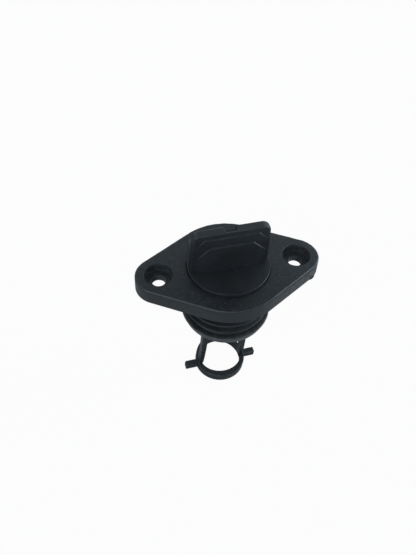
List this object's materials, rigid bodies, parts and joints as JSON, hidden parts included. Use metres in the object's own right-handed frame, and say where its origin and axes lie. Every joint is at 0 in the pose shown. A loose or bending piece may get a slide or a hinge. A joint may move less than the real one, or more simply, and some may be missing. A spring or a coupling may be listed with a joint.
{
  "type": "captive drain plug and socket",
  "caption": "Black nylon boat drain socket: rhombic screw-down flange, ribbed spigot, and a screw plug with finger grip kept captive by a forked hoop.",
  "frame": {"origin": "on the plug's axis, midway between the screw holes, in the plane of the flange's underside", "axes": "+Z out of the boat's skin towards the finger grip, +X along the flange through the screw holes"},
  "size_m": [0.064, 0.0408, 0.0755],
  "materials": {
    "socket_nylon": "fine satin moulding, glass-bead grain on the flange",
    "plug_nylon": "smooth satin moulding",
    "seal_rubber": "matte nitrile rubber"
  },
  "bodies": {
    "socket": {"socket": "socket_nylon"},
    "seal": {"o_ring": "seal_rubber"},
    "plug": {"plug": "plug_nylon"}
  },
  "joints": [
    {"name": "seal_rise", "type": "slide", "parent": "socket", "child": "seal", "axis": [0, 0, 1], "range_m": [0, 0.00801]},
    {"name": "plug_turn", "type": "hinge", "parent": "seal", "child": "plug", "pos_m": [0, 0, 0], "axis": [0, 0, 1], "range_deg": [0, 720]}
  ],
  "couplings": [
    {"joint": "seal_rise", "follows": "plug_turn", "m_per_rad": 0.00063662}
  ]
}
